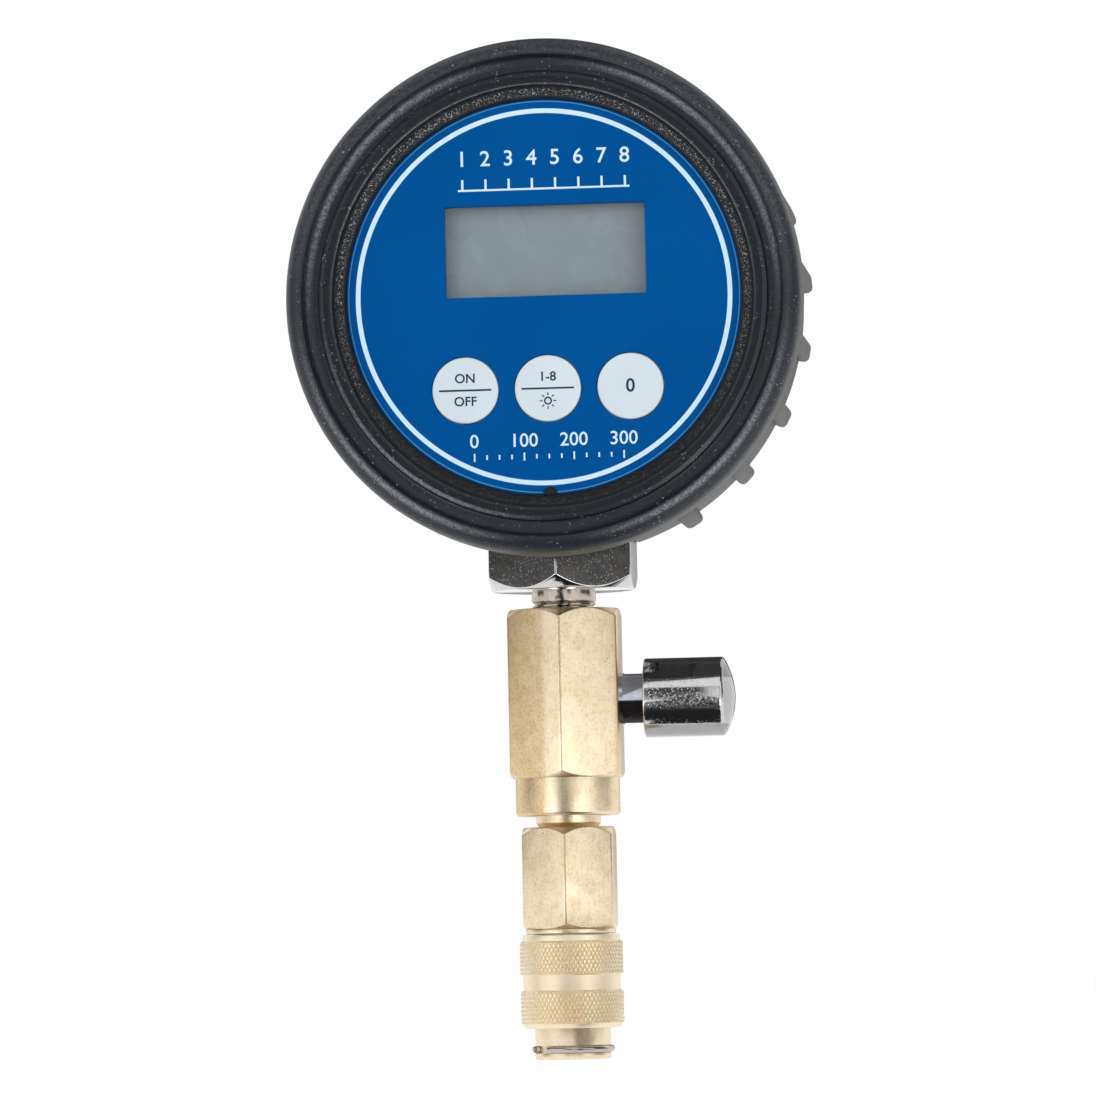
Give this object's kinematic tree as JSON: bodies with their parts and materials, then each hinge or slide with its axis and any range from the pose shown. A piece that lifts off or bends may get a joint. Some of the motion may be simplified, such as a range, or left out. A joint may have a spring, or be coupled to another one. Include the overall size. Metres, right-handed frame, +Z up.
{
  "type": "compression tester",
  "caption": "Digital compression tester: a round display gauge in a ribbed rubber boot, on a brass stem with a push-button release valve and a ball-lock quick coupler below.",
  "frame": {"origin": "centre of the quick coupler's mouth, at the open end of its nose tube", "axes": "+Z up the stem towards the gauge, the dial faces -Y, the release button points along +X"},
  "size_m": [0.0788, 0.0402, 0.1554],
  "materials": {
    "boot_rubber": "matt moulded rubber",
    "case_black": "fine grained moulding",
    "bezel_black": "coarse grained moulding",
    "dial_blue": "satin printed film",
    "window_clear": "clear polycarbonate",
    "display_grey": "unlit reflective display",
    "light_white": "milky light plate",
    "strip_rubber": "layered contact rubber",
    "board_green": "solder mask",
    "steel": "zinc plated or bright steel",
    "key_white": "satin white",
    "cell_wrap": "plain printed sleeve",
    "nickel": "bright nickel plate",
    "brass": "pale tumbled brass",
    "seal_rubber": "smooth",
    "copper": "annealed copper"
  },
  "bodies": {
    "tester": {"boot": "boot_rubber", "case_body": "case_black", "case_bezel": "bezel_black", "case_screws": "steel", "face_panel": "dial_blue", "lcd_window": "window_clear", "lcd_glass": "display_grey", "light_plate": "light_white", "contact_strips": "strip_rubber", "circuit_board": "board_green", "board_screws": "steel", "key_switches": "steel", "battery_upper": "cell_wrap", "battery_lower": "cell_wrap", "contact_springs": "steel", "contact_plates": "steel", "gauge_stem": "nickel", "stem_nut": "nickel", "pressure_sensor": "steel", "sensor_seal": "seal_rubber", "spigot_seal": "copper", "release_body": "brass", "valve_bush": "nickel", "release_spring": "steel", "neck_seal": "copper", "coupler_adapter": "brass", "coupler_nose": "brass", "collar_spring": "steel", "snap_ring": "steel"},
    "sleeve_turn": {"sleeve_spring": "steel"},
    "sleeve": {"coupler_sleeve": "brass"},
    "ball_1": {"locking_ball_1": "steel"},
    "ball_2": {"locking_ball_2": "steel"},
    "ball_3": {"locking_ball_3": "steel"},
    "ball_4": {"locking_ball_4": "steel"},
    "lock_collar": {"lock_collar": "brass", "plug_seal": "seal_rubber", "collar_seal": "seal_rubber"},
    "release_button": {"release_button": "nickel", "valve_pin": "steel", "valve_seal": "seal_rubber"},
    "key_power": {"key_power": "key_white"},
    "key_cylinder": {"key_cylinder": "key_white"},
    "key_clear": {"key_clear": "key_white"},
    "battery_door": {"battery_door": "case_black", "door_screw": "steel"}
  },
  "joints": [
    {"name": "sleeve_spin", "type": "hinge", "parent": "tester", "child": "sleeve_turn", "pos_m": [0, 0, 0.012], "axis": [0, 0, 1], "continuous": true},
    {"name": "sleeve_slide", "type": "slide", "parent": "sleeve_turn", "child": "sleeve", "axis": [0, 0, -1], "range_m": [0, 0.0025], "deforming": ["sleeve_spring"]},
    {"name": "ball_1_drop", "type": "slide", "parent": "tester", "child": "ball_1", "axis": [-0.7071, -0.7071, 0], "range_m": [0, 0.00055]},
    {"name": "ball_2_drop", "type": "slide", "parent": "tester", "child": "ball_2", "axis": [0.7071, -0.7071, 0], "range_m": [0, 0.00055]},
    {"name": "ball_3_drop", "type": "slide", "parent": "tester", "child": "ball_3", "axis": [0.7071, 0.7071, 0], "range_m": [0, 0.00055]},
    {"name": "ball_4_drop", "type": "slide", "parent": "tester", "child": "ball_4", "axis": [-0.7071, 0.7071, 0], "range_m": [0, 0.00055]},
    {"name": "collar_slide", "type": "slide", "parent": "tester", "child": "lock_collar", "axis": [0, 0, 1], "range_m": [0, 0.0032], "deforming": ["collar_spring"]},
    {"name": "release_press", "type": "slide", "parent": "tester", "child": "release_button", "axis": [-1, 0, 0], "range_m": [0, 0.0025], "stiffness_N_per_m": 1200, "springref_m": -0.003, "deforming": ["release_spring"]},
    {"name": "key_power_press", "type": "slide", "parent": "tester", "child": "key_power", "axis": [0, 1, 0], "range_m": [0, 0.0005], "stiffness_N_per_m": 600, "springref_m": -0.001},
    {"name": "key_cylinder_press", "type": "slide", "parent": "tester", "child": "key_cylinder", "axis": [0, 1, 0], "range_m": [0, 0.0005], "stiffness_N_per_m": 600, "springref_m": -0.001},
    {"name": "key_clear_press", "type": "slide", "parent": "tester", "child": "key_clear", "axis": [0, 1, 0], "range_m": [0, 0.0005], "stiffness_N_per_m": 600, "springref_m": -0.001},
    {"name": "battery_door_lift", "type": "slide", "parent": "tester", "child": "battery_door", "axis": [0, 1, 0], "range_m": [0, 0.012]}
  ],
  "couplings": [
    {"joint": "ball_1_drop", "follows": "sleeve_slide", "ratio": 0.22},
    {"joint": "ball_2_drop", "follows": "sleeve_slide", "ratio": 0.22},
    {"joint": "ball_3_drop", "follows": "sleeve_slide", "ratio": 0.22},
    {"joint": "ball_4_drop", "follows": "sleeve_slide", "ratio": 0.22},
    {"joint": "collar_slide", "follows": "sleeve_slide", "ratio": 1.28}
  ]
}
